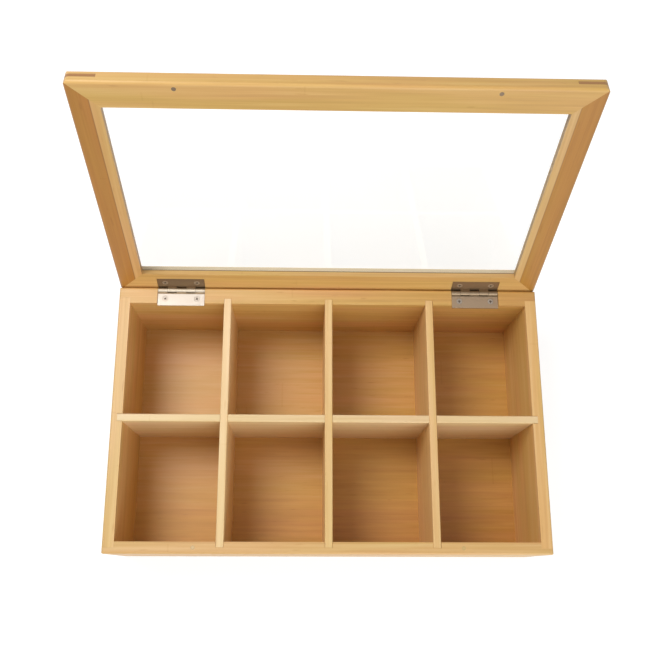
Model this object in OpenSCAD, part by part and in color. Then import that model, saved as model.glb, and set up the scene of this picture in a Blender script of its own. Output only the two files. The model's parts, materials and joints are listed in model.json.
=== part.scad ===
// Tea bag organizer: a bamboo box of eight compartments with a framed, windowed lid.
//
// Origin: centre of the underside of the base. +X right, +Y to the back, +Z up, millimetres.
// The lid is drawn closed, then turned open about the hinge pins. When it is open it leans
// back until the rear arris of its back rail bears on the back face of the box.

/* [Box] */
// Width over the side walls
box_w = 340; // [280:1:420]
// Depth from the front face to the back face
box_d = 210; // [160:1:280]
// Height of the box without its lid
box_h = 83; // [60:1:120]
// Thickness of the front wall
front_t = 9; // [8:0.5:14]
// Thickness of the back wall, which carries the hinges
back_t = 13; // [12:0.5:18]
// Thickness of each side wall
side_t = 9; // [8:0.5:14]
// Thickness of the base panel
base_t = 5; // [3:0.5:8]
// Radius of the eased outer edges
ease_r = 1.5; // [1.2:0.1:2.5]

/* [Box joints] */
// How far the ends of the side walls sit in the front and back walls
rabbet_d = 4.5; // [3:0.5:6]
// How far the edges of the base panel sit in the walls
base_lap = 4.5; // [3:0.5:6]
// How far the ends of the dividers sit in the walls
dado_d = 4; // [3:0.5:6]
// Clearance on each side of a glued wood joint
joint_fit = 0.05; // [0.02:0.01:0.15]

/* [Dividers] */
// Thickness of the divider boards
divider_t = 6; // [4:0.5:9]
// Radius of the eased top edges of the dividers
divider_ease = 0.8; // [0.4:0.1:1.5]

/* [Lid] */
// Thickness of the lid frame
lid_t = 11; // [10:0.5:16]
// Width of the four frame members
member_w = 20; // [19:0.5:30]
// Radius of the eased outer edges of the lid
lid_ease_r = 2.2; // [1.5:0.1:3]
// Radius of the upright outer corners of the lid
lid_corner_r = 4; // [3:0.1:6]
// Gap between the rim and the underside of the closed lid
lid_gap = 0.3; // [0.3:0.05:0.6]
// Angle through which the lid stands open
lid_open = 108; // [0:1:108]
// Thickness of the clear pane
pane_t = 2; // [1.5:0.5:3]
// Depth of the pane above the underside of the lid
pane_up = 5; // [4:0.5:5.5]
// Depth of the groove that holds the edge of the pane
groove_d = 5; // [4:0.5:6]
// How much wider the window is outside the pane, on each side
window_step = 2; // [0:0.5:2.5]
// Clearance on each face of the pane in its groove
pane_fit = 0.1; // [0.05:0.01:0.2]
// Clearance between the edge of the pane and the bottom of its groove
pane_edge_fit = 0.3; // [0.2:0.05:0.6]

/* [Corner keys] */
// Length of a key along each outer edge of the lid
key_leg = 20; // [14:0.5:24]
// Thickness of a key
key_t = 2.6; // [1.5:0.1:3]
// Distance from the top of the lid down to a key
key_down = 3.5; // [2.6:0.1:4.5]

/* [Hinges] */
// Distance from the side of the box in to the middle of each hinge
hinge_from_side = 50; // [45:1:80]
// Length of each hinge
hinge_len = 38; // [32:1:44]
// Number of knuckles on each barrel
knuckles = 5; // [3:2:7]
// Side gap between neighbouring knuckles
knuckle_gap = 0.2; // [0.1:0.05:0.4]
// Radius of the barrel
barrel_r = 2.2; // [2:0.05:2.4]
// Radius of the hinge pin
pin_r = 1; // [0.7:0.05:1.1]
// Running clearance between the pin and the knuckles
pin_fit = 0.05; // [0.02:0.01:0.1]
// Distance from the back face of the box in to the hinge axis
axis_in = 1.8; // [1.6:0.05:2]
// Thickness of both leaves
leaf_t = 1; // [0.8:0.1:1.2]
// Depth of the box leaf below the rim and the top of the barrel
leaf_sink = 0.8; // [0.3:0.1:1]
// Width of the box leaf from the hinge axis
box_leaf_w = 13; // [11:0.5:15]
// Width of the lid leaf from the hinge axis
lid_leaf_w = 12.4; // [11:0.1:15]
// Clearance round a moving barrel, and where a leaf passes a knuckle
hinge_room = 0.3; // [0.3:0.05:0.5]
// Clearance round the edge of a leaf in its mortise
leaf_fit = 0.2; // [0.1:0.05:0.4]

/* [Hinge screws] */
// Distance from the middle of a hinge to each of its screws
screw_x = 12.8; // [10:0.1:14]
// Distance from the hinge axis to the row of screws
screw_in = 7.2; // [6.5:0.1:8]
// Radius of the flat screw head
head_r = 2.4; // [2:0.1:2.8]
// Height of the straight edge of the screw head
head_edge = 0.2; // [0.1:0.05:0.3]
// Radius of the screw shank
shank_r = 1.25; // [1:0.05:1.5]
// Length of the screws that go down into the back wall
box_screw_len = 12; // [8:0.5:16]
// Length of the screws that go up into the lid
lid_screw_len = 8.5; // [6:0.5:9]
// Depth of a screw head below the face of its leaf
head_sink = 0.1; // [0.05:0.05:0.2]
// Clearance round a screw in its leaf and in its pilot hole
screw_fit = 0.05; // [0.02:0.01:0.1]
// Length of each bar of the cross recess in a screw head
recess_len = 2.6; // [2:0.1:3]
// Width of each bar of the cross recess
recess_w = 0.6; // [0.4:0.1:0.8]
// Depth of the cross recess
recess_d = 0.8; // [0.4:0.1:1]

/* [Magnets] */
// Distance from the side of the box in to each magnet
magnet_from_side = 68; // [30:1:80]
// Distance from the front face in to the magnets
magnet_in = 4.7; // [4.5:0.1:5]
// Radius of a magnet
magnet_r = 1.5; // [1:0.1:2]
// Length of a magnet
magnet_len = 4; // [3:0.5:5]
// Clearance round a magnet in its hole
magnet_fit = 0.05; // [0.02:0.01:0.1]

/* [Hidden] */
$fn = 48;
cut = 1;                                     // how far a cutter runs past a face
bamboo = "burlywood";
bamboo_dark = "peru";
steel = "silver";

half_w = box_w / 2;
half_d = box_d / 2;
inner_front = -half_d + front_t;             // inner face of the front wall
inner_back = half_d - back_t;                // inner face of the back wall
inner_side = half_w - side_t;                // inner face of the right wall
inner_w = 2 * inner_side;
inner_d = inner_back - inner_front;
row_y = (inner_front + inner_back) / 2;      // middle of the long divider
column_pitch = (inner_w + divider_t) / 4;    // four equal columns, three dividers between them
column_x = [-column_pitch, 0, column_pitch];
divider_h = box_h - base_t;
lap_z = base_t + divider_h / 2;              // height where the crossing dividers meet
slot_t = divider_t + 2 * joint_fit;

hinge_x = half_w - hinge_from_side;          // middle of each hinge
magnet_x = half_w - magnet_from_side;
axis_y = half_d - axis_in;                   // hinge axis
axis_z = box_h - barrel_r;                   // the top of the barrel is level with the rim
lid_z = box_h + lid_gap;                     // underside of the closed lid
lid_up = lid_z - axis_z;                     // the same, measured from the hinge axis
knuckle_len = hinge_len / knuckles;
leaf_top = barrel_r - leaf_sink;             // face of the box leaf, above the hinge axis
notch_w = barrel_r + hinge_room;             // from the axis to the leaf, beside a lid knuckle

window_w = box_w - 2 * member_w;
window_d = box_d - 2 * member_w;
pane_lap = groove_d - pane_edge_fit;         // how far the pane reaches into the frame
groove_t = pane_t + 2 * pane_fit;
key_z = lid_z + lid_t - key_down - key_t;    // underside of the keys, lid closed

// ---- shared shapes ----

// Block given by its lowest and highest corners
module block(low, high) {
    translate(low) cube(high - low);
}

// Rectangle with quarter-round corners, from the origin
module eased_rect(w, h, r) {
    translate([r, 0]) square([w - 2 * r, h]);
    translate([0, r]) square([w, h - 2 * r]);
    for (x = [r, w - r], y = [r, h - r]) translate([x, y]) circle(r);
}

// Block centred on X and Y and standing on Z = 0, with all its edges eased; the four upright
// ones have a radius of their own
module eased_block(w, d, h, r, upright_r) {
    intersection() {
        translate([-w / 2, -d / 2, 0]) linear_extrude(h) eased_rect(w, d, upright_r);
        translate([-w / 2, 0, 0]) rotate([90, 0, 90]) linear_extrude(w)
            translate([-d / 2, 0]) eased_rect(d, h, r);
        translate([0, d / 2, 0]) rotate([90, 0, 0]) linear_extrude(d)
            translate([-w / 2, 0]) eased_rect(w, h, r);
    }
}

module box_outside() {
    eased_block(box_w, box_d, box_h, ease_r, ease_r);
}

module lid_outside() {
    translate([0, 0, lid_z]) eased_block(box_w, box_d, lid_t, lid_ease_r, lid_corner_r);
}

// Turns what is drawn on the closed lid to where the open lid stands
module open_lid() {
    translate([0, axis_y, axis_z]) rotate([-lid_open, 0, 0]) translate([0, -axis_y, -axis_z])
        children();
}

// ---- box ----

// Room that the base panel takes out of the walls
module base_rabbet() {
    reach = base_lap + joint_fit;
    block([-inner_side - reach, inner_front - reach, -cut],
          [inner_side + reach, inner_back + reach, base_t]);
}

// Slots in the front and back walls for the ends of the short dividers
module short_divider_dadoes() {
    for (x = column_x)
        block([x - slot_t / 2, inner_front - dado_d, base_t],
              [x + slot_t / 2, inner_back + dado_d, box_h + cut]);
}

// Slots in the side walls for the ends of the long divider
module long_divider_dadoes() {
    block([-inner_side - dado_d, row_y - slot_t / 2, base_t],
          [inner_side + dado_d, row_y + slot_t / 2, box_h + cut]);
}

// Rabbets in the front and back walls for the ends of the side walls
module side_wall_rabbets() {
    for (side = [-1, 1])
        translate([side * (half_w - side_t / 2), 0, 0])
            block([-side_t / 2 - joint_fit, inner_front - rabbet_d, -cut],
                  [side_t / 2 + joint_fit, inner_back + rabbet_d, box_h + cut]);
}

module magnet_holes(top) {
    for (side = [-1, 1])
        translate([side * magnet_x, magnet_in - half_d, top - magnet_len])
            cylinder(h = magnet_len + cut, r = magnet_r + magnet_fit);
}

module front_wall() {
    color(bamboo) difference() {
        intersection() {
            box_outside();
            block([-half_w, -half_d, 0], [half_w, inner_front, box_h]);
        }
        side_wall_rabbets();
        short_divider_dadoes();
        base_rabbet();
        magnet_holes(box_h);
    }
}

module back_wall() {
    color(bamboo) difference() {
        intersection() {
            box_outside();
            block([-half_w, inner_back, 0], [half_w, half_d, box_h]);
        }
        side_wall_rabbets();
        short_divider_dadoes();
        base_rabbet();
        for (side = [-1, 1]) translate([side * hinge_x, 0, 0]) box_hinge_mortise();
    }
}

module side_wall(side) {
    color(bamboo) difference() {
        intersection() {
            box_outside();
            translate([side * (half_w - side_t / 2), 0, 0])
                block([-side_t / 2, inner_front - rabbet_d + joint_fit, 0],
                      [side_t / 2, inner_back + rabbet_d - joint_fit, box_h]);
        }
        long_divider_dadoes();
        base_rabbet();
    }
}

module base_panel() {
    color(bamboo)
        block([-inner_side - base_lap, inner_front - base_lap, 0],
              [inner_side + base_lap, inner_back + base_lap, base_t]);
}

// Board of the given length along X, standing on the base panel, with an eased top edge
module divider_board(length) {
    translate([-length / 2, 0, base_t]) rotate([90, 0, 90]) linear_extrude(length)
        translate([-divider_t / 2, 0]) union() {
            square([divider_t, divider_h - divider_ease]);
            translate([divider_ease, 0]) square([divider_t - 2 * divider_ease, divider_h]);
            for (x = [divider_ease, divider_t - divider_ease])
                translate([x, divider_h - divider_ease]) circle(divider_ease);
        }
}

module long_divider() {
    color(bamboo) difference() {
        translate([0, row_y, 0]) divider_board(inner_w + 2 * (dado_d - joint_fit));
        for (x = column_x)
            block([x - slot_t / 2, row_y - divider_t, lap_z],
                  [x + slot_t / 2, row_y + divider_t, box_h + cut]);
    }
}

module short_divider(x) {
    color(bamboo) difference() {
        translate([x, row_y, 0]) rotate([0, 0, 90]) divider_board(inner_d + 2 * (dado_d - joint_fit));
        block([x - divider_t, row_y - slot_t / 2, base_t - cut],
              [x + divider_t, row_y + slot_t / 2, lap_z]);
    }
}

module magnet(x, top) {
    color(steel) translate([x, magnet_in - half_d, top - magnet_len])
        cylinder(h = magnet_len, r = magnet_r);
}

// ---- hinges, each drawn closed at the middle of the box ----

// Cylinder about the hinge axis between two places along X
module axis_rod(from, to, r) {
    translate([from, axis_y, axis_z]) rotate([0, 90, 0]) cylinder(h = to - from, r = r);
}

// Block beside the hinge axis: along X, then forward from the axis, then up from the axis
module axis_block(along, forward, up) {
    block([along[0], axis_y - forward[1], axis_z + up[0]],
          [along[1], axis_y - forward[0], axis_z + up[1]]);
}

// Ends of one knuckle along X, less the side gap
function knuckle_span(i, gap) =
    [-hinge_len / 2 + i * knuckle_len + gap / 2, -hinge_len / 2 + (i + 1) * knuckle_len - gap / 2];

// The box leaf has the first, third and fifth knuckle, the lid leaf has those between
module knuckle_barrels(first) {
    for (i = [first : 2 : knuckles - 1]) {
        span = knuckle_span(i, knuckle_gap);
        axis_rod(span[0], span[1], barrel_r);
    }
}

module pin_bore() {
    axis_rod(-hinge_len / 2 - cut, hinge_len / 2 + cut, pin_r + pin_fit);
}

module box_hinge_mortise() {
    half = hinge_len / 2 + leaf_fit;
    axis_block([-half, half], [0, box_leaf_w + leaf_fit], [leaf_top - leaf_t, barrel_r + cut]);
    axis_block([-half, half], [-axis_in - cut, notch_w], [0, barrel_r + cut]);
    axis_rod(-half, half, notch_w);
    for (x = [-screw_x, screw_x]) box_screw_place(x) screw_room(box_screw_len);
}

module box_leaf() {
    half = (hinge_len - knuckle_gap) / 2;
    difference() {
        union() {
            axis_block([-half, half], [0, box_leaf_w], [leaf_top - leaf_t, leaf_top]);
            knuckle_barrels(0);
        }
        for (i = [1 : 2 : knuckles - 2])
            axis_block(knuckle_span(i, 0), [-barrel_r - cut, notch_w],
                       [-barrel_r - cut, barrel_r + cut]);
        pin_bore();
        for (x = [-screw_x, screw_x]) box_screw_place(x) screw_room(box_screw_len);
    }
}

module lid_leaf() {
    half = (hinge_len - knuckle_gap) / 2;
    difference() {
        union() {
            axis_block([-half, half], [0, lid_leaf_w], [lid_up, lid_up + leaf_t]);
            knuckle_barrels(1);
            for (i = [1 : 2 : knuckles - 2])
                axis_block(knuckle_span(i, knuckle_gap), [0, barrel_r], [0, lid_up + leaf_t]);
        }
        pin_bore();
        for (x = [-screw_x, screw_x]) lid_screw_place(x) screw_room(lid_screw_len);
    }
}

module hinge_box_leaf(side) {
    color(steel) translate([side * hinge_x, 0, 0]) box_leaf();
}

module hinge_lid_leaf(side) {
    color(steel) open_lid() translate([side * hinge_x, 0, 0]) lid_leaf();
}

module hinge_pin(side) {
    half = (hinge_len - knuckle_gap) / 2;
    color(steel) translate([side * hinge_x, 0, 0]) axis_rod(-half, half, pin_r);
}

// ---- hinge screws ----

// Flat-headed screw pointing down from Z = 0, grown on every side by the given clearance
module screw_body(length, grow) {
    neck = head_edge + head_r - shank_r;
    rotate_extrude()
        polygon([[0, grow], [head_r + grow, grow], [head_r + grow, -head_edge], [shank_r + grow, -neck],
                 [shank_r + grow, shank_r - length], [0, -length - grow]]);
}

// Room for such a screw, open through the face above its head
module screw_room(length) {
    screw_body(length, screw_fit);
    translate([0, 0, -head_edge])
        cylinder(h = head_edge + head_sink + cut, r = head_r + screw_fit);
}

module screw(length) {
    difference() {
        screw_body(length, 0);
        for (turn = [0, 90])
            rotate([0, 0, turn])
                block([-recess_len / 2, -recess_w / 2, -recess_d], [recess_len / 2, recess_w / 2, cut]);
    }
}

// Down through the box leaf into the back wall
module box_screw_place(x) {
    translate([x, axis_y - screw_in, axis_z + leaf_top - head_sink]) children();
}

// Up through the lid leaf into the back rail of the closed lid
module lid_screw_place(x) {
    translate([x, axis_y - screw_in, lid_z + head_sink]) rotate([180, 0, 0]) children();
}

module box_leaf_screws() {
    color(steel)
        for (side = [-1, 1], x = [-screw_x, screw_x])
            translate([side * hinge_x, 0, 0]) box_screw_place(x) screw(box_screw_len);
}

module lid_leaf_screws() {
    color(steel) open_lid()
        for (side = [-1, 1], x = [-screw_x, screw_x])
            translate([side * hinge_x, 0, 0]) lid_screw_place(x) screw(lid_screw_len);
}

// ---- lid, drawn closed ----

// Wedge of the lid between two corners, mitred at 45 degrees; direction +1 is the front or
// left member and -1 the back or right one
module rail_wedge(direction) {
    translate([0, 0, lid_z - cut]) linear_extrude(lid_t + 2 * cut) scale([1, direction])
        polygon([[-half_w, -half_d], [half_w, -half_d],
                 [half_w - member_w, -half_d + member_w], [-half_w + member_w, -half_d + member_w]]);
}

module stile_wedge(direction) {
    translate([0, 0, lid_z - cut]) linear_extrude(lid_t + 2 * cut) scale([direction, 1])
        polygon([[-half_w, -half_d], [-half_w, half_d],
                 [-half_w + member_w, half_d - member_w], [-half_w + member_w, -half_d + member_w]]);
}

// Groove for the edge of the pane, and the wider window outside it
module pane_groove() {
    translate([0, 0, lid_z + pane_up - pane_fit]) {
        block([-window_w / 2 - groove_d, -window_d / 2 - groove_d, 0],
              [window_w / 2 + groove_d, window_d / 2 + groove_d, groove_t]);
        block([-window_w / 2 - window_step, -window_d / 2 - window_step, 0],
              [window_w / 2 + window_step, window_d / 2 + window_step, lid_t]);
    }
}

// Triangle across one corner of the lid, between two heights
module key_shape(side, end, low, high, grow) {
    leg = key_leg + grow;
    translate([0, 0, low]) linear_extrude(high - low) scale([side, end])
        polygon([[half_w + cut, half_d + cut], [half_w - leg - cut, half_d + cut],
                 [half_w + cut, half_d - leg - cut]]);
}

module key_slots() {
    for (side = [-1, 1], end = [-1, 1])
        key_shape(side, end, key_z - joint_fit, key_z + key_t + joint_fit, joint_fit);
}

module lid_key(side, end) {
    color(bamboo_dark) open_lid() intersection() {
        lid_outside();
        key_shape(side, end, key_z, key_z + key_t, 0);
    }
}

module lid_front_rail() {
    color(bamboo) open_lid() difference() {
        intersection() {
            lid_outside();
            rail_wedge(1);
        }
        pane_groove();
        key_slots();
        for (side = [-1, 1])
            translate([side * magnet_x, magnet_in - half_d, lid_z - cut])
                cylinder(h = magnet_len + cut, r = magnet_r + magnet_fit);
    }
}

module lid_back_rail() {
    half = hinge_len / 2 + leaf_fit;
    color(bamboo) open_lid() difference() {
        intersection() {
            lid_outside();
            rail_wedge(-1);
        }
        pane_groove();
        key_slots();
        for (side = [-1, 1]) translate([side * hinge_x, 0, 0]) {
            axis_block([-half, half], [-leaf_fit, lid_leaf_w + leaf_fit],
                       [lid_up - cut, lid_up + leaf_t]);
            for (x = [-screw_x, screw_x]) lid_screw_place(x) screw_room(lid_screw_len);
        }
    }
}

module lid_stile(direction) {
    color(bamboo) open_lid() difference() {
        intersection() {
            lid_outside();
            stile_wedge(direction);
        }
        pane_groove();
        key_slots();
    }
}

module lid_pane() {
    color("white", 0.3) open_lid() translate([0, 0, lid_z + pane_up])
        block([-window_w / 2 - pane_lap, -window_d / 2 - pane_lap, 0],
              [window_w / 2 + pane_lap, window_d / 2 + pane_lap, pane_t]);
}

module lid_magnet(side) {
    open_lid() magnet(side * magnet_x, lid_z + magnet_len);
}

front_wall();
back_wall();
side_wall(-1);  // left_wall
side_wall(1);  // right_wall
base_panel();
long_divider();
short_divider(column_x[0]);  // divider_left
short_divider(column_x[1]);  // divider_centre
short_divider(column_x[2]);  // divider_right
magnet(-magnet_x, box_h);  // rim_magnet_left
magnet(magnet_x, box_h);  // rim_magnet_right
hinge_box_leaf(-1);  // hinge_left_box_leaf
hinge_box_leaf(1);  // hinge_right_box_leaf
hinge_pin(-1);  // hinge_left_pin
hinge_pin(1);  // hinge_right_pin
box_leaf_screws();
lid_front_rail();
lid_back_rail();
lid_stile(1);  // lid_left_stile
lid_stile(-1);  // lid_right_stile
lid_pane();
lid_key(-1, -1);  // key_front_left
lid_key(1, -1);  // key_front_right
lid_key(-1, 1);  // key_back_left
lid_key(1, 1);  // key_back_right
lid_magnet(-1);  // lid_magnet_left
lid_magnet(1);  // lid_magnet_right
hinge_lid_leaf(-1);  // hinge_left_lid_leaf
hinge_lid_leaf(1);  // hinge_right_lid_leaf
lid_leaf_screws();
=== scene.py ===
import json
import math

import bmesh
import bpy
from mathutils import Matrix, Vector


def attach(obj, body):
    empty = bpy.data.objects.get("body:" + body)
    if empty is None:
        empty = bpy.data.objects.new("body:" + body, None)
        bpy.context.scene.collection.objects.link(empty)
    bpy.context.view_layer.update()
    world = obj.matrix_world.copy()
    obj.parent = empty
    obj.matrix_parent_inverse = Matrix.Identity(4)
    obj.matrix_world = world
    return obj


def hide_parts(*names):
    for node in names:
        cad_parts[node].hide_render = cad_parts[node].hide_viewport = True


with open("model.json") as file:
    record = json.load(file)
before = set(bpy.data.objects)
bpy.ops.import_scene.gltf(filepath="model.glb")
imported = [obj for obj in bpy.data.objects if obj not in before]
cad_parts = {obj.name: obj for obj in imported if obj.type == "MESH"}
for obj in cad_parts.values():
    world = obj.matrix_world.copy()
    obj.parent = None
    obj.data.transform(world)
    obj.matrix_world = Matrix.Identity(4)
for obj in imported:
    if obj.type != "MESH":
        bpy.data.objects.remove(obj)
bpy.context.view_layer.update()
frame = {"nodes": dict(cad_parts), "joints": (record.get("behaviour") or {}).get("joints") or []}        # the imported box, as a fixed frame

mm = 0.001
nodes = frame["nodes"]
lidHinge = frame["joints"][0]
hingeAxis = Vector(lidHinge["pos_m"])
lidTurn = math.radians(lidHinge["range_deg"][1])   # from the stored open lid to the closed one
print("frame:", len(nodes), "pieces, lid open by", round(math.degrees(lidTurn)), "degrees")


def toLinear(hexColour):   # sRGB hex to the linear colour that a shader wants
    channels = [int(hexColour[i:i + 2], 16) / 255 for i in (1, 3, 5)]
    return [c / 12.92 if c <= 0.04045 else ((c + 0.055) / 1.055) ** 2.4 for c in channels] + [1.0]


def addNode(tree, kind, inputs=None, **settings):   # a node, its settings, and its values or links
    node = tree.nodes.new(kind)
    for name, value in settings.items():
        setattr(node, name, value)
    for key, value in (inputs or {}).items():
        if isinstance(value, bpy.types.NodeSocket):
            tree.links.new(value, node.inputs[key])
        else:
            node.inputs[key].default_value = value
    return node


def startMaterial(name):
    material = bpy.data.materials.new(name)
    material.use_nodes = True
    material.node_tree.nodes.clear()
    return material, material.node_tree


def paint(piece, material):
    piece.data.materials.clear()
    piece.data.materials.append(material)


cameraView = {
    "place": (-0.02104, -0.12000, 0.73019),   # metres, in the frame of the box
    "pitch": 15.997, "yaw": -1.301, "roll": 0.481,   # degrees
    "focalPixels": 835.9,
    "axisPixel": (321.5, 335.6),           # where the lens axis meets a picture 650 pixels square
    "picturePixels": 650,
    "sensorWidth": 36.0,                   # mm
    "clipStart": 0.01,                     # metres
}


def makeCamera(view):
    lens = bpy.data.cameras.new("camera")
    lens.sensor_width = view["sensorWidth"]
    lens.lens = view["focalPixels"] / view["picturePixels"] * view["sensorWidth"]
    middle = view["picturePixels"] / 2
    lens.shift_x = (middle - view["axisPixel"][0]) / view["picturePixels"]
    lens.shift_y = (view["axisPixel"][1] - middle) / view["picturePixels"]
    lens.clip_start = view["clipStart"]
    camera = bpy.data.objects.new("camera", lens)
    turn = Matrix.Identity(4)
    for angle, axis in ((view["pitch"], "X"), (view["yaw"], "Y"), (view["roll"], "Z")):
        turn = turn @ Matrix.Rotation(math.radians(angle), 4, axis)
    camera.matrix_world = Matrix.Translation(view["place"]) @ turn
    bpy.context.scene.collection.objects.link(camera)
    bpy.context.scene.camera = camera


makeCamera(cameraView)
print("camera ready")

# Natural bamboo board, pressed from strips, sanded fine and sealed with satin lacquer.
# The eye sees fine straight fibres and slow streaks along the board, a slightly different tone
# in each strip, now and then the thin dark line of a culm joint, and a soft sheen.
bambooBoard = {
    "pale": "#EFCD92", "middle": "#DDB16C", "deep": "#BE8C4A", "rosy": "#E2AC76", "olive": "#D0AC5C",
    "stripWidth": 6.5, "stripLayer": 6.5,          # mm
    "fibreWidth": 1.1, "fibreLength": 45.0,        # mm; real fibres are finer than the eye resolves here
    "streakWidth": 3.2, "streakLength": 110.0,     # mm
    "patchWidth": 14.0, "patchLength": 140.0,      # mm
    "jointGap": 420.0, "jointWidth": 1.0,          # mm
    "fleckWidth": 2.6, "fleckLength": 16.0,        # mm
    "fleckFrom": 0.70, "fleckFull": 0.80,          # noise where a fleck begins and where it is full
    "patchRosy": 0.35, "patchOlive": 0.65,         # noise where the tint is all rosy and all olive
    "stripShift": 40.0, "jointShift": 7.3,         # set the pattern of one strip off from the next
    "cellShift": 0.37,
    "stripShare": 0.22, "streakShare": 1.1, "fibreShare": 0.45, "jointShare": 0.15, "fleckShare": 0.35,
    "patchShare": 0.38,
    "roughness": 0.46, "glossSpread": 0.08, "coat": 0.12, "coatRoughness": 0.35, "ior": 1.5,
    "grainDepth": 0.05, "grainStrength": 0.35,     # depth in mm
    "drift": 0.0, "slope": 0.0,                    # change of tone per metre, along and across
    "band": None, "paneShadowAndPaleBand": (),
}
leftBand = {"from": 156.3, "bandTint": "#D9BF83", "bandLineShare": 0.5, "bandLine": "#7A4A22"}
rightBand = {"from": 155.2, "bandTint": "#D6BB78", "bandLineShare": 0.45, "bandLine": "#8A5A2C"}
bandEdge = {"soft": 0.2, "bandLineFull": 0.15, "bandLineGone": 0.55}   # mm from the edge of the band
aroundWindow = {"window": (152.3, 87.3), "low": 87.5, "high": 88.4}   # mm, lid closed
# painted shadow along the edge of the pane; on the stiles it darkens the whole shaded inner side. The pale
# band lies on the back rail beside the pane.
paneEdgeShadow = {**aroundWindow, "colour": "#5E4428", "share": 0.8}
paleBand = {**aroundWindow, "colour": "#E6DCC6", "share": 0.7, "low": 88.4, "high": 95.0}
stileSideShade = {**paneEdgeShadow, "low": 84.3, "share": 0.45}


def tones(pale, middle, deep, rosy="#E2AC76", olive="#D0AC5C"):
    return {"pale": pale, "middle": middle, "deep": deep, "rosy": rosy, "olive": olive}


keyTones = tones("#C79A62", "#AD7B44", "#8E5F30", "#B07C4C", "#A67A40")


def turnGrain(tree, grainAlong, onLid):   # the piece's own coordinates, turned so the grain runs along X
    turn = Matrix.Rotation(lidTurn, 4, "X") if onLid else Matrix.Identity(4)
    shift = hingeAxis - turn @ hingeAxis
    if grainAlong == "Y":
        quarter = Matrix.Rotation(-math.pi / 2, 4, "Z")
        turn = quarter @ turn
        shift = quarter @ shift
    place = addNode(tree, "ShaderNodeTexCoord").outputs["Object"]
    return addNode(tree, "ShaderNodeMapping", {
        "Vector": place, "Rotation": turn.to_euler("XYZ"), "Location": shift}).outputs["Vector"]


noiseRoughness = 0.55   # for wood and metal alike


def drawnOut(tree, turned, length, width, detail, offset=None):   # noise drawn out along the grain
    perLength, perWidth = 1 / (length * mm), 1 / (width * mm)
    sized = addNode(tree, "ShaderNodeVectorMath", {
        0: turned, 1: (perLength, perWidth, perWidth)}, operation="MULTIPLY").outputs[0]
    if offset:
        sized = addNode(tree, "ShaderNodeVectorMath", {0: sized, 1: offset}, operation="ADD").outputs[0]
    return addNode(tree, "ShaderNodeTexNoise", {
        "Vector": sized, "Scale": 1.0, "Detail": detail,
        "Roughness": noiseRoughness}).outputs["Fac"]


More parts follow.
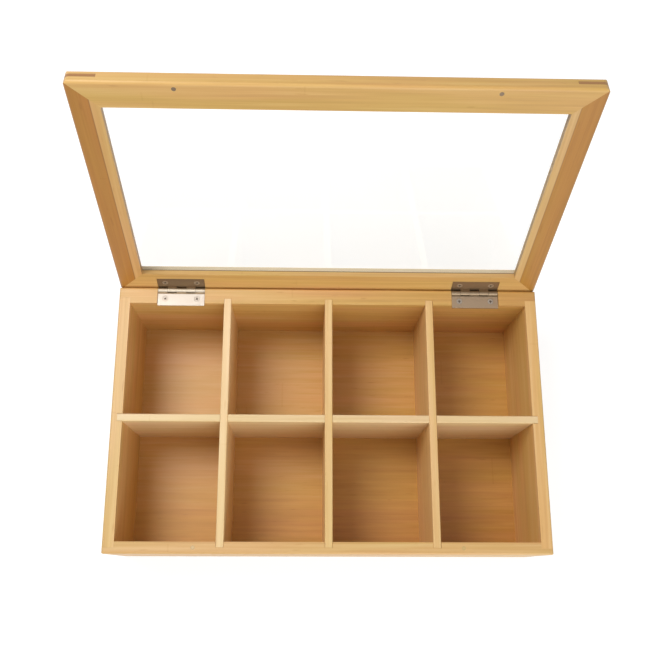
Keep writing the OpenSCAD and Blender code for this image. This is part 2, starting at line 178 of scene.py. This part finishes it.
def makeBamboo(name, grainAlong="X", onLid=False, seed=0.0, **changes):
    look = {**bambooBoard, **changes}
    material, tree = startMaterial(name)
    turned = turnGrain(tree, grainAlong, onLid)
    axes = addNode(tree, "ShaderNodeSeparateXYZ", {"Vector": turned}).outputs

    perStripSize = (0.0, 1 / (look["stripWidth"] * mm), 1 / (look["stripLayer"] * mm))
    strips = addNode(tree, "ShaderNodeVectorMath", {0: turned, 1: perStripSize}, operation="MULTIPLY")
    cell = addNode(tree, "ShaderNodeVectorMath", {0: strips.outputs[0]}, operation="FLOOR")
    seeded = addNode(tree, "ShaderNodeVectorMath", {
        0: cell.outputs[0], 1: (seed, look["cellShift"], look["cellShift"])}, operation="ADD")
    perStrip = addNode(tree, "ShaderNodeTexWhiteNoise", {
        "Vector": seeded.outputs[0]}, noise_dimensions="3D")
    offset = addNode(tree, "ShaderNodeVectorMath", {
        0: perStrip.outputs["Color"], 1: (look["stripShift"], 0.0, 0.0)}, operation="MULTIPLY").outputs[0]

    fibre = drawnOut(tree, turned, look["fibreLength"], look["fibreWidth"], detail=3.0, offset=offset)
    streak = drawnOut(tree, turned, look["streakLength"], look["streakWidth"], detail=2.0, offset=offset)
    patch = drawnOut(tree, turned, look["patchLength"], look["patchWidth"], detail=1.0)
    fleck = addNode(tree, "ShaderNodeMapRange", {   # short darker marks, where a leaf grew from the culm
        "Value": drawnOut(tree, turned, look["fleckLength"], look["fleckWidth"], detail=1.0),
        "From Min": look["fleckFrom"], "From Max": look["fleckFull"],
        "To Min": 0.0, "To Max": look["fleckShare"]}).outputs[0]

    tone = 0.5   # and the share of each layer of the pattern round it
    for layer, middle, share in ((perStrip.outputs["Value"], 0.5, look["stripShare"]),
                                 (streak, 0.5, look["streakShare"]), (fibre, 0.5, look["fibreShare"]),
                                 (axes["X"], 0.0, look["drift"]), (axes["Y"], 0.0, look["slope"])):
        centred = addNode(tree, "ShaderNodeMath", {0: layer, 1: middle}, operation="SUBTRACT").outputs[0]
        tone = addNode(tree, "ShaderNodeMath", {0: centred, 1: share, 2: tone},
                       operation="MULTIPLY_ADD").outputs[0]

    alongCulm = addNode(tree, "ShaderNodeMath", {
        0: axes["X"], 1: 1 / (look["jointGap"] * mm), 2: addNode(tree, "ShaderNodeMath", {
            0: perStrip.outputs["Value"], 1: look["jointShift"]}, operation="MULTIPLY").outputs[0]},
        operation="MULTIPLY_ADD").outputs[0]
    fromJoint = addNode(tree, "ShaderNodeMath", {
        0: addNode(tree, "ShaderNodeMath", {0: alongCulm}, operation="FRACT").outputs[0], 1: 0.5},
        operation="SUBTRACT").outputs[0]
    jointLine = addNode(tree, "ShaderNodeMapRange", {
        "Value": addNode(tree, "ShaderNodeMath", {0: fromJoint}, operation="ABSOLUTE").outputs[0],
        "From Min": 0.0, "From Max": look["jointWidth"] / look["jointGap"],
        "To Min": look["jointShare"], "To Max": 0.0}, interpolation_type="SMOOTHSTEP").outputs[0]
    for mark in (jointLine, fleck):
        tone = addNode(tree, "ShaderNodeMath", {0: tone, 1: mark}, operation="SUBTRACT").outputs[0]

    ramp = addNode(tree, "ShaderNodeValToRGB", {"Fac": tone})
    ramp.color_ramp.elements[0].color = toLinear(look["deep"])
    ramp.color_ramp.elements[1].color = toLinear(look["pale"])
    ramp.color_ramp.elements.new(0.5).color = toLinear(look["middle"])

    tint = addNode(tree, "ShaderNodeMix", {
        "Factor": addNode(tree, "ShaderNodeMapRange", {
            "Value": patch, "From Min": look["patchRosy"], "From Max": look["patchOlive"]}).outputs[0],
        "A": toLinear(look["rosy"]), "B": toLinear(look["olive"])}, data_type="RGBA").outputs["Result"]
    colour = addNode(tree, "ShaderNodeMix", {
        "Factor": look["patchShare"], "A": ramp.outputs["Color"], "B": tint},
        data_type="RGBA").outputs["Result"]

    if look["band"]:   # a darker strip along the outer edge, with a darker line at its inner edge
        band = look["band"]
        side = addNode(tree, "ShaderNodeMath", {
            0: addNode(tree, "ShaderNodeMath", {0: axes["Y"]}, operation="ABSOLUTE").outputs[0],
            1: band["from"] * mm}, operation="SUBTRACT").outputs[0]
        stained = addNode(tree, "ShaderNodeMix", {
            "Factor": addNode(tree, "ShaderNodeMapRange", {
                "Value": side, "From Min": -bandEdge["soft"] * mm,
                "From Max": bandEdge["soft"] * mm}).outputs[0],
            "A": colour, "B": addNode(tree, "ShaderNodeMix", {
                "Factor": 1.0, "A": colour, "B": toLinear(band["bandTint"])},
                data_type="RGBA", blend_type="MULTIPLY").outputs["Result"]},
            data_type="RGBA").outputs["Result"]
        colour = addNode(tree, "ShaderNodeMix", {
            "Factor": addNode(tree, "ShaderNodeMapRange", {
                "Value": addNode(tree, "ShaderNodeMath", {0: side}, operation="ABSOLUTE").outputs[0],
                "From Min": bandEdge["bandLineFull"] * mm, "From Max": bandEdge["bandLineGone"] * mm,
                "To Min": band["bandLineShare"], "To Max": 0.0}).outputs[0],
            "A": stained, "B": toLinear(band["bandLine"])}, data_type="RGBA").outputs["Result"]

    for line in look["paneShadowAndPaleBand"]:   # painted shadow along the edge of the pane, and a pale band beside it on the back rail
        closed = turned if grainAlong == "X" else addNode(tree, "ShaderNodeMapping", {
            "Vector": turned, "Rotation": (0, 0, math.pi / 2)}).outputs["Vector"]
        mirrored = addNode(tree, "ShaderNodeVectorMath", {0: closed}, operation="ABSOLUTE").outputs[0]
        within = addNode(tree, "ShaderNodeSeparateXYZ", {"Vector": mirrored}).outputs
        inside = line["share"]
        for value, operation, edge in (
                (within["X"], "LESS_THAN", line["window"][0]),
                (within["Y"], "LESS_THAN", line["window"][1]),
                (within["Z"], "LESS_THAN", line["high"]),
                (within["Z"], "GREATER_THAN", line["low"])):
            test = addNode(tree, "ShaderNodeMath", {0: value, 1: edge * mm}, operation=operation).outputs[0]
            inside = addNode(tree, "ShaderNodeMath", {0: test, 1: inside}, operation="MULTIPLY").outputs[0]
        colour = addNode(tree, "ShaderNodeMix", {
            "Factor": inside, "A": colour, "B": toLinear(line["colour"])},
            data_type="RGBA").outputs["Result"]

    gloss = addNode(tree, "ShaderNodeMapRange", {
        "Value": fibre, "To Min": look["roughness"] - look["glossSpread"],
        "To Max": look["roughness"] + look["glossSpread"]})
    bump = addNode(tree, "ShaderNodeBump", {
        "Height": fibre, "Strength": look["grainStrength"], "Distance": look["grainDepth"] * mm})
    wood = addNode(tree, "ShaderNodeBsdfPrincipled", {
        "Base Color": colour, "Roughness": gloss.outputs[0], "IOR": look["ior"], "Normal": bump.outputs[0],
        "Coat Weight": look["coat"], "Coat Roughness": look["coatRoughness"]})
    addNode(tree, "ShaderNodeOutputMaterial", {"Surface": wood.outputs[0]})
    return material


# Each piece's tones differ partly as bamboo does from board to board, and partly as painted light and
# shade: lighter or darker where the lamps light a piece too little or too much.
bambooPieces = {
    "front_wall": {"seed": 1.0, **tones("#E8C68F", "#D3A767", "#B8874A")},
    "back_wall": {"seed": 2.0, "drift": -1.8, "fleckShare": 0.5,
                  **tones("#E9C588", "#D7A962", "#B88442", "#DCA26C", "#CAA454")},
    "left_wall": {"seed": 3.0, "grainAlong": "Y", **tones("#F2D29E", "#E0B877", "#C29252")},
    "right_wall": {"seed": 4.0, "grainAlong": "Y", **tones("#F2D196", "#E2B66E", "#C4924C")},
    # the base grows lighter towards the back and darker to the right: painted light and shade across the
    # floors
    "base_panel": {"seed": 5.0, "stripWidth": 22.0, "drift": -1.2, "slope": 3.0,
                   "streakLength": 60.0, "streakShare": 0.75, "fibreShare": 0.3,
                   **tones("#E8C086", "#D6A350", "#B57930", "#DCA260", "#CA9D44")},
    "long_divider": {"seed": 6.0, **tones("#F5E1B8", "#EACC9A", "#D1A970", "#ECC6A0", "#DEC286")},
    "divider_left": {"seed": 7.0, "grainAlong": "Y",
                     **tones("#F9E3B6", "#EFCE98", "#D8AE6E", "#F0C89C", "#E3C484")},
    "divider_centre": {"seed": 8.0, "grainAlong": "Y",
                       **tones("#F0D49C", "#E4BE80", "#CB9C56", "#E8BA86", "#DAB66C")},
    "divider_right": {"seed": 9.0, "grainAlong": "Y",
                      **tones("#EED09A", "#E3BB7C", "#C99852", "#E6B682", "#D8B268")},
    "lid_front_rail": {"seed": 10.0, "onLid": True, "drift": -0.45, "paneShadowAndPaleBand": (paneEdgeShadow,),
                       **tones("#EAC680", "#D7AA5C", "#BA8842")},
    "lid_back_rail": {"seed": 11.0, "onLid": True, "paneShadowAndPaleBand": (paneEdgeShadow, paleBand),
                      **tones("#E7C27E", "#D3A55D", "#B68340")},
    "lid_left_stile": {"seed": 12.0, "grainAlong": "Y", "onLid": True, "band": leftBand,
                       "paneShadowAndPaleBand": (stileSideShade,), **tones("#E3BA7A", "#CF9D58", "#B27D42")},
    "lid_right_stile": {"seed": 13.0, "grainAlong": "Y", "onLid": True, "band": rightBand,
                        "paneShadowAndPaleBand": (stileSideShade,), **tones("#EACD94", "#D9B374", "#BC9054")},
    "key_front_left": {"seed": 14.0, "onLid": True, **keyTones},
    "key_front_right": {"seed": 15.0, "onLid": True, **keyTones},
    "key_back_left": {"seed": 16.0, "onLid": True, **keyTones},
    "key_back_right": {"seed": 17.0, "onLid": True, **keyTones},
}

for name, choices in bambooPieces.items():
    paint(nodes[name], makeBamboo("lacquered_bamboo_" + name, **choices))
print("bamboo painted")

# Cast acrylic sheet, polished: nearly colourless, with a faint mirror on its smooth skin.
clearPane = {"tint": "#FDFEFD", "roughness": 0.02, "ior": 1.49, "specular": 0.18}


def makeAcrylic(look):
    material, tree = startMaterial("polished_clear_acrylic")
    sheet = addNode(tree, "ShaderNodeBsdfPrincipled", {
        "Base Color": toLinear(look["tint"]), "Roughness": look["roughness"], "IOR": look["ior"],
        "Transmission Weight": 1.0, "Specular IOR Level": look["specular"]})
    unseen = addNode(tree, "ShaderNodeBsdfTransparent", {"Color": toLinear(look["tint"])})
    rays = addNode(tree, "ShaderNodeLightPath")
    both = addNode(tree, "ShaderNodeMixShader", {   # light passes to what is under the pane
        "Fac": rays.outputs["Is Shadow Ray"], 1: sheet.outputs[0], 2: unseen.outputs[0]})
    addNode(tree, "ShaderNodeOutputMaterial", {"Surface": both.outputs[0]})
    return material


paint(nodes["lid_pane"], makeAcrylic(clearPane))
print("pane painted")

# Nickel-plated steel, stamped and tumbled: a soft mirror with fine scratches along the strip.
nickelPlate = {
    # Parts that are alike in the real hinges are toned apart as painted reflections: the left box leaf
    # paler than the right, the lid leaves darker than both, the lid screws paler than the box screws, and
    # the left rim magnet darker than the right.
    "leftBoxLeafWithReflection": "#A99F94", "rightBoxLeafWithReflection": "#A08B74", "lidLeafWithReflection": "#907A60", "pin": "#A69985",
    "boxScrew": "#A3988C", "lidScrew": "#B5A28A",
    # painted shade in the screws' cross recesses
    "recess": {"below": 0.15, "recessShade": "#5C5145"},   # mm under the face of a screw head
    "leftRimMagnetWithReflection": "#A8916E", "rightRimMagnetWithReflection": "#C0A36E", "lidMagnet": "#7C6C5A",
    # the barrel gets a painted highlight and the crease before it painted shade; the highlight is paler on
    # the left hinge than on the right
    "barrel": {"front": 1.5, "boxReach": 3.2, "lidReach": 2.3,   # mm from the hinge axis
               "leftBarrelHighlight": "#B8AC9A", "rightBarrelHighlight": "#94816A", "paintedCreaseShade": "#75644F"},
    "roughness": 0.46, "glossSpread": 0.08,
    "scratchWidth": 0.25, "scratchLength": 4.0, "scratchDepth": 0.01,   # mm
    "scratchStrength": 0.2,
}


def makePlatedSteel(name, colour, onLid, look, headHeight=None):
    material, tree = startMaterial(name)
    turned = turnGrain(tree, "X", onLid)
    scratches = drawnOut(tree, turned, look["scratchLength"], look["scratchWidth"], detail=4.0)
    gloss = addNode(tree, "ShaderNodeMapRange", {
        "Value": scratches, "To Min": look["roughness"] - look["glossSpread"],
        "To Max": look["roughness"] + look["glossSpread"]})
    bump = addNode(tree, "ShaderNodeBump", {
        "Height": scratches, "Strength": look["scratchStrength"],
        "Distance": look["scratchDepth"] * mm})
    plate = toLinear(colour)
    if name.endswith("leaf"):   # painted highlight along the barrel, and painted shade in the crease before it
        barrel = look["barrel"]
        barrelHighlight = barrel["leftBarrelHighlight" if "left" in name else "rightBarrelHighlight"]
        place = addNode(tree, "ShaderNodeTexCoord").outputs["Object"]
        forward = addNode(tree, "ShaderNodeVectorMath", {
            0: hingeAxis, 1: place}, operation="SUBTRACT").outputs[0]
        ahead = addNode(tree, "ShaderNodeSeparateXYZ", {"Vector": forward}).outputs["Y"]
        paintedCreaseShade = addNode(tree, "ShaderNodeMath", {
            0: ahead, 1: barrel["front"] * mm}, operation="GREATER_THAN").outputs[0]
        near = addNode(tree, "ShaderNodeMix", {
            "Factor": paintedCreaseShade, "A": toLinear(barrelHighlight), "B": toLinear(barrel["paintedCreaseShade"])},
            data_type="RGBA").outputs["Result"]
        across = addNode(tree, "ShaderNodeVectorMath", {0: forward, 1: (0, 1, 1)}, operation="MULTIPLY")
        away = addNode(tree, "ShaderNodeVectorMath", {
            0: across.outputs[0]}, operation="LENGTH").outputs["Value"]
        inside = addNode(tree, "ShaderNodeMath", {
            0: away if onLid else ahead, 1: barrel["lidReach" if onLid else "boxReach"] * mm},
            operation="LESS_THAN").outputs[0]
        plate = addNode(tree, "ShaderNodeMix", {
            "Factor": inside, "A": plate, "B": near}, data_type="RGBA").outputs["Result"]
    if headHeight:   # painted shade darkens the cross recess; the shank turns dark too, inside the wood
        height = addNode(tree, "ShaderNodeSeparateXYZ", {"Vector": turned}).outputs["Z"]
        fromFace = addNode(tree, "ShaderNodeMath", {
            0: height, 1: hingeAxis.z + headHeight * mm}, operation="SUBTRACT").outputs[0]
        depth = addNode(tree, "ShaderNodeMath", {0: fromFace}, operation="ABSOLUTE").outputs[0]
        inRecessShade = addNode(tree, "ShaderNodeMath", {
            0: depth, 1: look["recess"]["below"] * mm}, operation="GREATER_THAN").outputs[0]
        plate = addNode(tree, "ShaderNodeMix", {
            "Factor": inRecessShade, "A": plate, "B": toLinear(look["recess"]["recessShade"])},
            data_type="RGBA").outputs["Result"]
    metal = addNode(tree, "ShaderNodeBsdfPrincipled", {
        "Base Color": plate, "Metallic": 1.0, "Roughness": gloss.outputs[0],
        "Normal": bump.outputs[0]})
    addNode(tree, "ShaderNodeOutputMaterial", {"Surface": metal.outputs[0]})
    return material


for name, colour, onLid in (
        ("hinge_left_box_leaf", "leftBoxLeafWithReflection", False), ("hinge_right_box_leaf", "rightBoxLeafWithReflection", False),
        ("hinge_left_lid_leaf", "lidLeafWithReflection", True), ("hinge_right_lid_leaf", "lidLeafWithReflection", True),
        ("hinge_left_pin", "pin", False), ("hinge_right_pin", "pin", False),
        ("rim_magnet_left", "leftRimMagnetWithReflection", False), ("rim_magnet_right", "rightRimMagnetWithReflection", False),
        ("lid_magnet_left", "lidMagnet", True), ("lid_magnet_right", "lidMagnet", True)):
    paint(nodes[name], makePlatedSteel("nickel_plated_" + name, nickelPlate[colour], onLid, nickelPlate))
print("metal painted")

# Countersunk wood screws, cold headed and plated: a turned rim round a flat face with a cross
# recess. The thread is a stack of rings, since it is hidden in the wood.
hingeScrew = {
    "headRadius": 2.4, "headEdge": 0.2, "headRound": 0.12, "shankRadius": 1.25,     # mm
    "threadPitch": 1.1, "threadHeight": 0.25, "mergeWithin": 0.001,                 # mm
    "crestAt": 0.8,                               # share of the pitch from a root down to its crest
    "segments": 40, "smoothBelow": 35,            # degrees between faces that look like one
    "Recess Length": 2.6 * mm, "Recess Width": 0.6 * mm, "Recess Depth": 0.8 * mm,
    "Screw Spacing": 25.6 * mm, "Hinge Spacing": 240.0 * mm, "Seed": 7,
    "boxLength": 12.0, "boxPlace": (-7.2, 1.3),   # mm, forward of the hinge axis and above it
    "lidLength": 8.5, "lidPlace": (-7.2, 2.6),
}


def screwProfile(look, length):   # radius and height from the middle of the head down to the point
    neck = look["headEdge"] + look["headRadius"] - look["shankRadius"]
    core = look["shankRadius"] - look["threadHeight"]
    points = [(0.0, 0.0), (look["headRadius"] - look["headRound"], 0.0),
              (look["headRadius"], -look["headRound"]), (look["headRadius"], -look["headEdge"]),
              (look["shankRadius"], -neck), (core, -neck - look["threadHeight"])]
    height = neck + look["threadHeight"]
    while height + look["threadPitch"] < length - look["shankRadius"]:
        points += [(look["shankRadius"], -height - look["threadPitch"] * look["crestAt"]),
                   (core, -height - look["threadPitch"])]
        height += look["threadPitch"]
    return points + [(core, look["shankRadius"] - length), (0.0, -length)]


def turnScrew(look, length):
    mesh = bpy.data.meshes.new("turned_screw")
    shape = bmesh.new()
    chain = [shape.verts.new((r * mm, 0.0, z * mm)) for r, z in screwProfile(look, length)]
    edges = [shape.edges.new(pair) for pair in zip(chain, chain[1:])]
    bmesh.ops.spin(shape, geom=chain + edges, cent=(0, 0, 0), axis=(0, 0, 1), angle=2 * math.pi,
                   steps=look["segments"], use_merge=True)
    bmesh.ops.remove_doubles(shape, verts=shape.verts, dist=look["mergeWithin"] * mm)
    bmesh.ops.recalc_face_normals(shape, faces=shape.faces)
    shape.to_mesh(mesh)
    shape.free()
    return mesh


def makeScrewTree():   # cuts the cross recess and sets a screw at each of the four places
    tree = bpy.data.node_groups.new("hinge_screws", "GeometryNodeTree")
    tree.interface.new_socket("Geometry", in_out="INPUT", socket_type="NodeSocketGeometry")
    for name, kind in (("Recess Length", "Float"), ("Recess Width", "Float"), ("Recess Depth", "Float"),
                       ("Screw Spacing", "Float"), ("Hinge Spacing", "Float"), ("Seed", "Int"),
                       ("Finish", "Material")):
        tree.interface.new_socket(name, in_out="INPUT", socket_type="NodeSocket" + kind)
    tree.interface.new_socket("Geometry", in_out="OUTPUT", socket_type="NodeSocketGeometry")
    given = addNode(tree, "NodeGroupInput").outputs
    deep = addNode(tree, "ShaderNodeMath", {   # half of a bar stands above the head
        0: given["Recess Depth"], 1: 2.0}, operation="MULTIPLY").outputs[0]
    bars = []
    for across, along in (("Recess Width", "Recess Length"), ("Recess Length", "Recess Width")):
        size = addNode(tree, "ShaderNodeCombineXYZ", {"X": given[along], "Y": given[across], "Z": deep})
        bars.append(addNode(tree, "GeometryNodeMeshCube", {"Size": size.outputs[0]}).outputs["Mesh"])
    cut = given["Geometry"]
    for bar in bars:
        cut = addNode(tree, "GeometryNodeMeshBoolean", {"Mesh 1": cut, "Mesh 2": bar},
                      operation="DIFFERENCE", solver="EXACT").outputs["Mesh"]
    spots = None   # two places on each hinge, at both hinges
    for gap in ("Screw Spacing", "Hinge Spacing"):
        back = addNode(tree, "ShaderNodeMath", {0: given[gap], 1: -0.5}, operation="MULTIPLY").outputs[0]
        line = addNode(tree, "GeometryNodeMeshLine", {
            "Count": 2, "Start Location": addNode(tree, "ShaderNodeCombineXYZ", {"X": back}).outputs[0],
            "Offset": addNode(tree, "ShaderNodeCombineXYZ", {"X": given[gap]}).outputs[0]}).outputs["Mesh"]
        if spots:
            both = addNode(tree, "GeometryNodeInstanceOnPoints", {"Points": line, "Instance": spots})
            line = addNode(tree, "GeometryNodeRealizeInstances", {"Geometry": both.outputs[0]}).outputs[0]
        spots = line
    driven = addNode(tree, "FunctionNodeRandomValue", {   # how far each screw was turned home
        2: 0.0, 3: math.pi / 2, "Seed": given["Seed"]}, data_type="FLOAT").outputs[1]
    turned = addNode(tree, "FunctionNodeEulerToRotation", {
        "Euler": addNode(tree, "ShaderNodeCombineXYZ", {"Z": driven}).outputs[0]}).outputs[0]
    screws = addNode(tree, "GeometryNodeInstanceOnPoints", {
        "Points": spots, "Instance": cut, "Rotation": turned}).outputs[0]
    placed = addNode(tree, "GeometryNodeRealizeInstances", {"Geometry": screws}).outputs[0]
    finished = addNode(tree, "GeometryNodeSetMaterial", {
        "Geometry": placed, "Material": given["Finish"]}).outputs[0]
    addNode(tree, "NodeGroupOutput", {"Geometry": finished})
    return tree


def driveScrews(name, body, look, tree):
    length, place = look[body + "Length"], look[body + "Place"]
    builder = bpy.data.objects.new("screw_builder", turnScrew(look, length))
    bpy.context.scene.collection.objects.link(builder)
    setter = builder.modifiers.new("screws", "NODES")
    setter.node_group = tree
    finish = makePlatedSteel("nickel_plated_" + name, nickelPlate[body + "Screw"], body == "lid",
                             nickelPlate, headHeight=place[1])
    for item in tree.interface.items_tree:
        if item.in_out == "INPUT" and item.name in look:
            setter[item.identifier] = look[item.name]
        if item.in_out == "INPUT" and item.name == "Finish":
            setter[item.identifier] = finish
    builder.update_tag()
    graph = bpy.context.evaluated_depsgraph_get()
    mesh = bpy.data.meshes.new_from_object(builder.evaluated_get(graph))
    builder.modifiers.clear()
    bpy.data.objects.remove(builder)
    fromAxis = Vector((0, place[0] * mm, place[1] * mm))
    toHinge = Matrix.Translation(hingeAxis + fromAxis)
    if body == "lid":   # up into the closed lid, then open with it
        toHinge = (Matrix.Translation(hingeAxis) @ Matrix.Rotation(-lidTurn, 4, "X")
                   @ Matrix.Translation(fromAxis) @ Matrix.Rotation(math.pi, 4, "X"))
    mesh.transform(toHinge)
    mesh.shade_smooth()
    mesh.set_sharp_from_angle(angle=math.radians(look["smoothBelow"]))
    piece = bpy.data.objects.new(name, mesh)
    bpy.context.scene.collection.objects.link(piece)
    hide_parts(body + "_leaf_screws")
    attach(piece, body)
    print("screws on the", body + ":", len(mesh.polygons), "faces")


screwTree = makeScrewTree()
driveScrews("box_hinge_screws", "box", hingeScrew, screwTree)
driveScrews("lid_hinge_screws", "lid", hingeScrew, screwTree)

studio = {
    "floorColour": "#F4F4F2", "floorShare": 0.45, "floorGlow": 0.78, "floorSize": 4.0,
    "worldColour": "#FFFFFF", "worldStrength": 0.35,
    "lamps": {   # place and aim in metres, size in metres, power in watts
        "key": {"place": (-0.50, 0.30, 1.10), "aim": (0.0, 0.0, 0.05), "size": 0.55, "power": 7.0},
        "fill": {"place": (0.30, -1.05, 0.50), "aim": (0.0, 0.0, 0.10), "size": 1.2, "power": 9.1},
    },
}


def seenDirectly(tree):   # 1 for the camera and for what metal and clear plastic show
    rays = addNode(tree, "ShaderNodeLightPath").outputs
    some = addNode(tree, "ShaderNodeMath", {
        0: rays["Is Camera Ray"], 1: rays["Is Glossy Ray"]}, operation="MAXIMUM").outputs[0]
    return addNode(tree, "ShaderNodeMath", {
        0: some, 1: rays["Is Transmission Ray"]}, operation="MAXIMUM").outputs[0]


def makeFloor(look):
    half = look["floorSize"] / 2
    mesh = bpy.data.meshes.new("floor")
    mesh.from_pydata([(-half, -half, 0), (half, -half, 0), (half, half, 0), (-half, half, 0)], [],
                     [(0, 1, 2, 3)])
    floor = bpy.data.objects.new("floor", mesh)
    bpy.context.scene.collection.objects.link(floor)
    material, tree = startMaterial("white_paper_sweep")
    matte = addNode(tree, "ShaderNodeBsdfDiffuse", {
        "Color": [c * look["floorShare"] for c in toLinear(look["floorColour"])[:3]] + [1.0]})
    glow = addNode(tree, "ShaderNodeEmission", {
        "Strength": addNode(tree, "ShaderNodeMath", {
            0: seenDirectly(tree), 1: look["floorGlow"]}, operation="MULTIPLY").outputs[0]})
    both = addNode(tree, "ShaderNodeAddShader", {0: matte.outputs[0], 1: glow.outputs[0]})
    addNode(tree, "ShaderNodeOutputMaterial", {"Surface": both.outputs[0]})
    paint(floor, material)


def makeWorld(look):
    world = bpy.data.worlds.new("studio")
    world.use_nodes = True
    tree = world.node_tree
    tree.nodes.clear()
    strength = addNode(tree, "ShaderNodeMapRange", {
        "Value": seenDirectly(tree), "To Min": look["worldStrength"], "To Max": 1.0})
    sky = addNode(tree, "ShaderNodeBackground", {
        "Color": toLinear(look["worldColour"]), "Strength": strength.outputs[0]})
    addNode(tree, "ShaderNodeOutputWorld", {"Surface": sky.outputs[0]})
    bpy.context.scene.world = world


def makeLamp(name, place, aim, size, power):
    lamp = bpy.data.lights.new(name, "AREA")
    lamp.shape = "DISK"
    lamp.size = size
    lamp.energy = power
    holder = bpy.data.objects.new(name, lamp)
    holder.location = place
    holder.rotation_euler = (Vector(aim) - Vector(place)).to_track_quat("-Z", "Y").to_euler()
    bpy.context.scene.collection.objects.link(holder)


makeFloor(studio)
makeWorld(studio)
for name, lamp in studio["lamps"].items():
    makeLamp(name, **lamp)
bpy.context.scene.view_settings.view_transform = "Standard"
print("studio ready")
